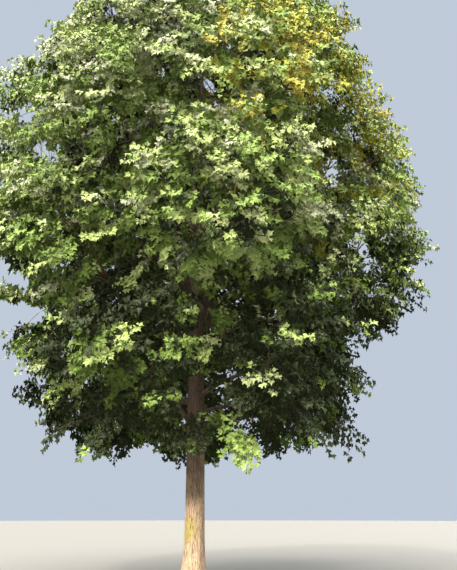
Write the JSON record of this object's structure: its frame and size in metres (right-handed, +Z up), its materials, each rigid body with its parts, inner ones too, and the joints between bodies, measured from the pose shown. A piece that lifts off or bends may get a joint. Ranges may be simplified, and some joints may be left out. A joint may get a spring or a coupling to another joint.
{
  "type": "maple tree",
  "caption": "Tall maple tree in full summer leaf: straight trunk with a root flare, forking leaders, rising boughs and an egg-shaped crown of separate foliage masses.",
  "frame": {"origin": "centre of the trunk's flat cut at ground level", "axes": "+Z up along the trunk, -Y towards the side the picture shows, +X to the right in the picture"},
  "size_m": [13.5285, 12.9595, 20.3854],
  "materials": {
    "bark": "rough, shallow furrows with flat ridges, warm grey-brown with greenish patches",
    "young_bark": "smoother grey-brown bark of boughs and twigs",
    "leaves": "matt to satin leaves, deep to yellow green, paler beneath"
  },
  "bodies": {
    "root": {"trunk": "bark", "leader_tip_1": "young_bark", "leader_top_1": "young_bark", "leader_top_2": "young_bark", "leader_top_3": "young_bark", "bough_lower_1": "young_bark", "bough_lower_2": "young_bark", "bough_lower_3": "young_bark", "bough_lower_4": "young_bark", "bough_lower_5": "young_bark", "bough_lower_6": "young_bark", "bough_middle_1": "young_bark", "bough_middle_2": "young_bark", "bough_middle_3": "young_bark", "bough_middle_4": "young_bark", "bough_middle_5": "young_bark", "bough_middle_6": "young_bark", "bough_skirt_1": "young_bark", "bough_skirt_2": "young_bark", "bough_skirt_3": "young_bark", "bough_skirt_4": "young_bark", "bough_skirt_5": "young_bark", "bough_upper_1": "young_bark", "bough_upper_2": "young_bark", "bough_upper_3": "young_bark", "bough_upper_4": "young_bark", "bough_upper_5": "young_bark", "foliage_lower_1": "leaves", "foliage_lower_2": "leaves", "foliage_lower_3": "leaves", "foliage_lower_4": "leaves", "foliage_lower_5": "leaves", "foliage_lower_6": "leaves", "foliage_middle_1": "leaves", "foliage_middle_2": "leaves", "foliage_middle_3": "leaves", "foliage_middle_4": "leaves", "foliage_middle_5": "leaves", "foliage_middle_6": "leaves", "foliage_skirt_1": "leaves", "foliage_skirt_2": "leaves", "foliage_skirt_3": "leaves", "foliage_skirt_4": "leaves", "foliage_skirt_5": "leaves", "foliage_tip_1": "leaves", "foliage_top_1": "leaves", "foliage_top_2": "leaves", "foliage_top_3": "leaves", "foliage_upper_1": "leaves", "foliage_upper_2": "leaves", "foliage_upper_3": "leaves", "foliage_upper_4": "leaves", "foliage_upper_5": "leaves"}
  },
  "joints": []
}
